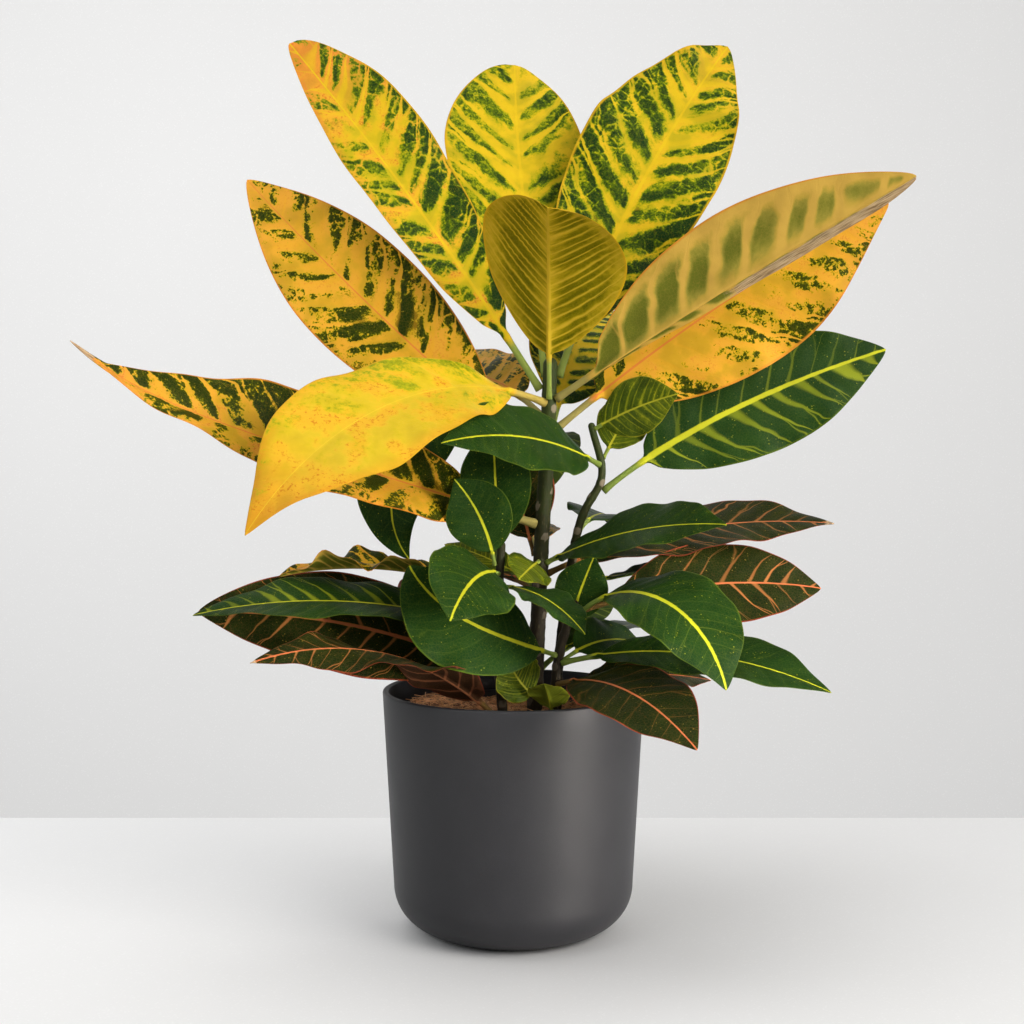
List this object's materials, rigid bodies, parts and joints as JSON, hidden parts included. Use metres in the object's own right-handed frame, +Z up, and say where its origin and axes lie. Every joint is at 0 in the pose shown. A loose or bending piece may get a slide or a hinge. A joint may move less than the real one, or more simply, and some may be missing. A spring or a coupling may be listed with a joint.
{
  "type": "potted croton",
  "caption": "Croton house plant with broad variegated leaves on woody stems, standing in a nursery pot of potting mix inside a round matt cachepot.",
  "frame": {"origin": "centre of the cachepot's flat base, where it meets the surface", "axes": "+Z up; -Y towards the plant's front, +X to its right as seen from the front"},
  "size_m": [0.5381, 0.4185, 0.6413],
  "materials": {
    "gold": "golden yellow leaf with green blotches, waxy satin",
    "amber": "orange-gold leaf mottled dark green with a red midrib, waxy satin",
    "yellow": "plain yellow leaf with faint orange spots, soft satin",
    "striped": "dark green leaf with a yellow midrib and pale side veins, glossy",
    "red_rib": "very dark green leaf with red veins and edge, glossy",
    "young": "yellow-green young leaf, satin",
    "bark": "brown-green woody stem, matt",
    "glaze": "anthracite fine-grained matt satin pot",
    "liner": "thin black plastic nursery pot",
    "mix": "brown fibrous potting mix, matt"
  },
  "bodies": {
    "root": {"pot": "glaze", "nursery_pot": "liner", "potting_mix": "mix", "stem_main": "bark", "stem_right": "bark", "stem_front": "bark", "stem_low": "bark", "leaf_crown_upper_left": "gold", "leaf_crown_back": "gold", "leaf_crown_front": "gold", "leaf_crown_upper_right": "gold", "leaf_crown_right": "amber", "leaf_crown_right_front": "amber", "leaf_crown_left": "amber", "leaf_long_left": "amber", "leaf_yellow_front": "yellow", "leaf_inner_front": "striped", "leaf_inner_rib": "red_rib", "leaf_young_right": "young", "leaf_green_right": "striped", "leaf_mottled_young": "young", "leaf_middle_right_front": "striped", "leaf_middle_right": "red_rib", "leaf_middle_right_low": "striped", "leaf_red_rib_right": "red_rib", "leaf_hanging_right_front": "striped", "leaf_low_right": "striped", "leaf_low_right_inner": "red_rib", "leaf_shade_right": "striped", "leaf_rim_right_front": "red_rib", "leaf_upright_inner": "striped", "leaf_bright_inner": "young", "leaf_upright_left": "striped", "leaf_upright_left_front": "striped", "leaf_small_left_back": "young", "leaf_broad_left_front": "striped", "leaf_small_front_left": "striped", "leaf_small_front_right": "striped", "leaf_curled_left": "red_rib", "leaf_low_left_upper": "striped", "leaf_red_rib_left": "red_rib", "leaf_rim_left_front": "red_rib", "leaf_sprout_left": "young", "leaf_sprout_right": "young", "leaf_hanging_left": "striped", "leaf_back_high": "gold", "leaf_back_left_high": "amber", "leaf_back_right_high": "amber", "leaf_back_middle": "striped", "leaf_back_right": "striped", "leaf_back_left": "red_rib", "leaf_back_low": "striped", "leaf_back_left_low": "red_rib", "leaf_back_right_low": "striped"}
  },
  "joints": []
}
